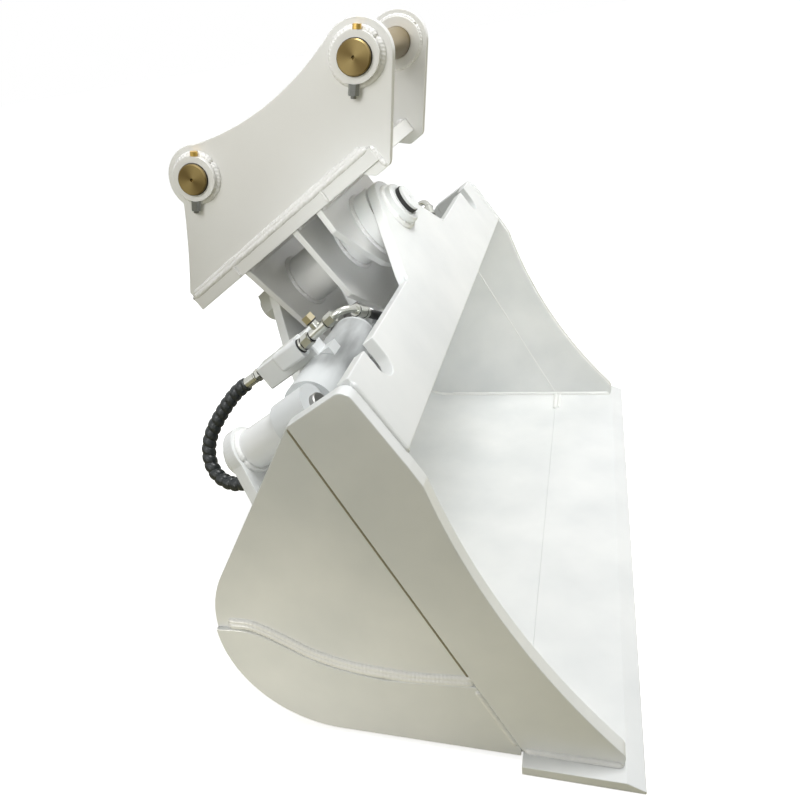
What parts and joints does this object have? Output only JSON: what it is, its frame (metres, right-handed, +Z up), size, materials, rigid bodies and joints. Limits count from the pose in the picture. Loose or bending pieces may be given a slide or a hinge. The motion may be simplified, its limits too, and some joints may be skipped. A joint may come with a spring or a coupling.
{
  "type": "tilting excavator bucket",
  "caption": "Wide ditching bucket that tilts sideways on a pin under its hanger, moved by hydraulic cylinders behind the front plate.",
  "frame": {"origin": "on the ground plane of the lip's underside, under the middle of the outer box", "axes": "+X across the bucket to its right seen from the machine, -Y out of the open mouth, +Z up"},
  "size_m": [1.67, 1.0212, 1.3073],
  "materials": {
    "bucket_paint": "gloss cream-white paint",
    "hanger_paint": "gloss cream-white paint",
    "cylinder_paint": "gloss cream-white paint",
    "pin_steel": "yellow passivated, turned",
    "machined_steel": "machined",
    "rod_chrome": "polished",
    "bush_bronze": "bronze, bored",
    "bolt_gold": "yellow zinc plated",
    "fitting_brass": "plain brass",
    "fitting_zinc": "bright zinc plated",
    "guard_plastic": "black, spiral wrapped",
    "hose_rubber": "black",
    "seal_rubber": "black"
  },
  "bodies": {
    "bucket": {"anchor_grease_fittings": "fitting_brass", "anchor_pin_left": "pin_steel", "anchor_pin_right": "pin_steel", "anchor_tube_left": "bucket_paint", "anchor_tube_right": "bucket_paint", "bucket_shell": "bucket_paint", "crossover_hose": "hose_rubber", "cutting_lip": "bucket_paint", "front_pin_boss": "bucket_paint", "front_plate": "bucket_paint", "front_thrust_washer": "machined_steel", "heel_plate_left": "bucket_paint", "heel_plate_right": "bucket_paint", "rear_pin_boss": "bucket_paint", "rear_plate": "bucket_paint", "rear_thrust_washer": "machined_steel", "side_cutter_left": "bucket_paint", "side_cutter_right": "bucket_paint", "side_plate_left": "bucket_paint", "side_plate_right": "bucket_paint", "tilt_pin": "bucket_paint", "tilt_pin_cap": "bucket_paint", "tilt_pin_nut": "bucket_paint", "tilt_pin_seal": "seal_rubber"},
    "hanger": {"hub_tube": "hanger_paint", "front_bush": "bush_bronze", "rear_bush": "bush_bronze", "hanger_base": "hanger_paint", "rear_rib": "hanger_paint", "middle_rib": "hanger_paint", "front_rib": "hanger_paint", "hanger_ear_left": "hanger_paint", "hanger_ear_right": "hanger_paint", "arm_boss_left": "hanger_paint", "arm_boss_right": "hanger_paint", "link_boss_left": "hanger_paint", "link_boss_right": "hanger_paint", "arm_pin": "pin_steel", "link_pin": "pin_steel", "keeper_bolts": "bolt_gold", "keeper_nuts": "machined_steel"},
    "left_barrel": {"cylinder_barrel_left": "cylinder_paint", "cylinder_gland_left": "cylinder_paint", "valve_block_left": "cylinder_paint", "hose_ends_left": "fitting_zinc", "tee_fitting_left": "fitting_zinc", "guarded_hose_left": "guard_plastic"},
    "left_rod": {"cylinder_rod_left": "rod_chrome", "cylinder_piston_left": "machined_steel", "rod_pin_left": "pin_steel"},
    "right_barrel": {"cylinder_barrel_right": "cylinder_paint", "cylinder_gland_right": "cylinder_paint", "valve_block_right": "cylinder_paint", "hose_ends_right": "fitting_zinc", "tee_fitting_right": "fitting_zinc", "guarded_hose_right": "guard_plastic"},
    "right_rod": {"cylinder_rod_right": "rod_chrome", "cylinder_piston_right": "machined_steel", "rod_pin_right": "pin_steel"}
  },
  "joints": [
    {"name": "tilt", "type": "hinge", "parent": "bucket", "child": "hanger", "pos_m": [0, -0.00757, 0.903], "axis": [0, -0.8387, 0.5446], "range_deg": [-45, 45]},
    {"name": "left_barrel_swing", "type": "hinge", "parent": "bucket", "child": "left_barrel", "pos_m": [-0.625, 0.10075, 0.63831], "axis": [0, -0.8387, 0.5446], "range_deg": [-4.2, 4.2], "deforming": ["crossover_hose"]},
    {"name": "left_rod_slide", "type": "slide", "parent": "left_barrel", "child": "left_rod", "axis": [1, 0, 0], "range_m": [-0.1155, 0.1155]},
    {"name": "right_barrel_swing", "type": "hinge", "parent": "bucket", "child": "right_barrel", "pos_m": [0.625, 0.10075, 0.63831], "axis": [0, -0.8387, 0.5446], "range_deg": [-4.2, 4.2], "deforming": ["crossover_hose"]},
    {"name": "right_rod_slide", "type": "slide", "parent": "right_barrel", "child": "right_rod", "axis": [1, 0, 0], "range_m": [-0.1155, 0.1155]}
  ],
  "couplings": [
    {"joint": "left_barrel_swing", "follows": "tilt", "ratio": -0.0914},
    {"joint": "left_rod_slide", "follows": "tilt", "m_per_rad": 0.14675},
    {"joint": "right_barrel_swing", "follows": "tilt", "ratio": -0.0914},
    {"joint": "right_rod_slide", "follows": "tilt", "m_per_rad": 0.14675}
  ]
}
